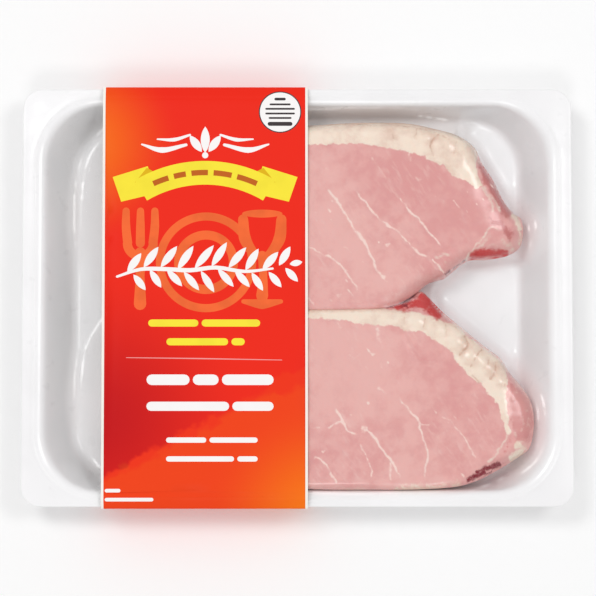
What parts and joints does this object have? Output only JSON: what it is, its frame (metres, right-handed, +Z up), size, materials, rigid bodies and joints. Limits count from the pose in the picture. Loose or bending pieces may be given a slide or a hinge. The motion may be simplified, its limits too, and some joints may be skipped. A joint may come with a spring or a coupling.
{
  "type": "meat tray pack",
  "caption": "Shallow rectangular formed tray with a flat rim, holding boneless meat chops under a tight clear skin film, with a printed board sleeve wrapped round it.",
  "frame": {"origin": "centre of the bounding box on the plane that the pack lies on, which is the underside of the sleeve's base panel", "axes": "+X along the tray's long side, towards the ends of the chops that the sleeve leaves bare; +Y across the tray; +Z up, out of the filled side"},
  "size_m": [0.23, 0.1766, 0.0237],
  "materials": {
    "tray": "white opaque formed plastic, satin",
    "raw_meat": "moist raw meat, pink with pale fat",
    "clear_film": "thin clear film drawn down tight, glossy",
    "printed_board": "coated board printed red and orange, faint gloss"
  },
  "bodies": {
    "root": {"tray": "tray", "chop_upper": "raw_meat", "chop_lower": "raw_meat", "skin_film": "clear_film", "sleeve": "printed_board"}
  },
  "joints": []
}
